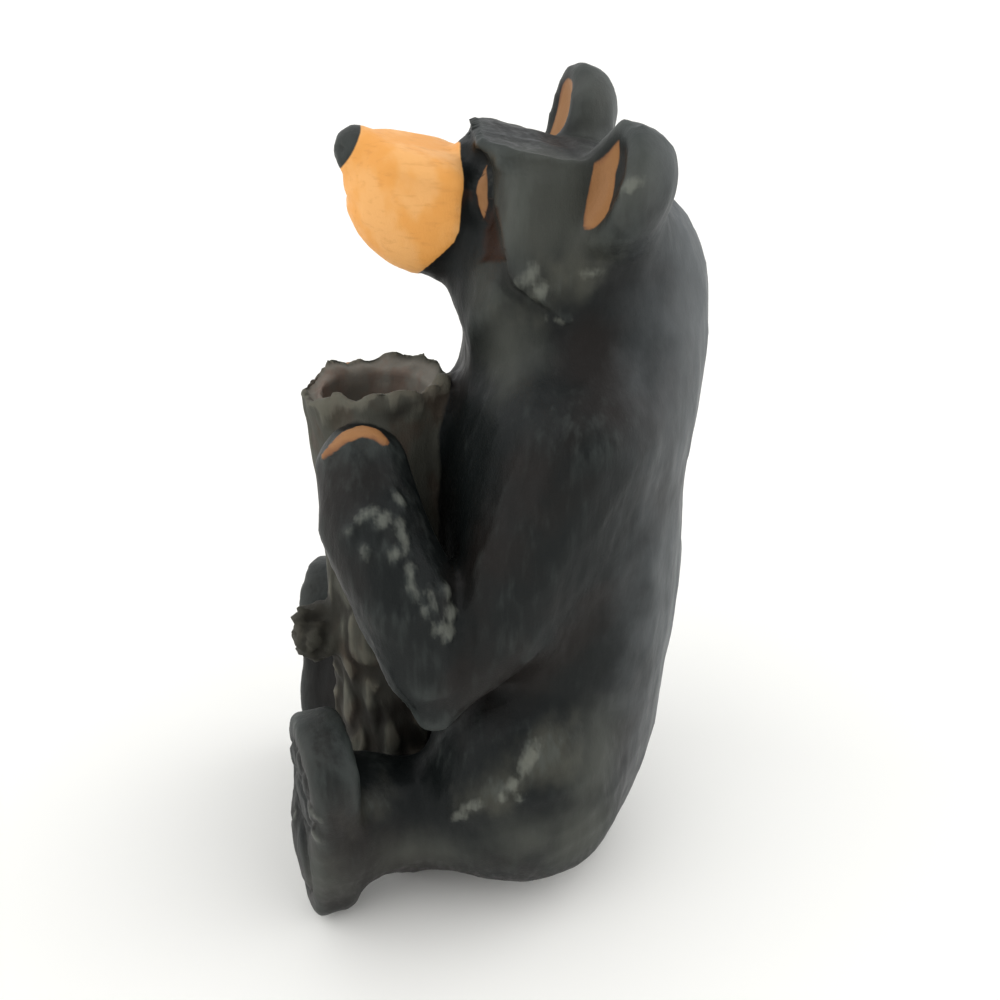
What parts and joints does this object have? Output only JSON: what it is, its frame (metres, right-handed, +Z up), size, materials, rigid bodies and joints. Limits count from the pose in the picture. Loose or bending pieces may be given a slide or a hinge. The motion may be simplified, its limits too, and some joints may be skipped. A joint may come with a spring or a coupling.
{
  "type": "bear figurine candle holder",
  "caption": "Seated bear figurine hugging an upright log whose open top is a round socket for a taper candle, cast in one piece.",
  "frame": {"origin": "on the surface that the figure stands on, under the centre of its bounding box", "axes": "+Z up; the bear looks towards -Y; its left side is +X"},
  "size_m": [0.0878, 0.0926, 0.178],
  "materials": {
    "painted_resin": "satin"
  },
  "bodies": {
    "root": {"bear_candle_holder": "painted_resin"}
  },
  "joints": []
}
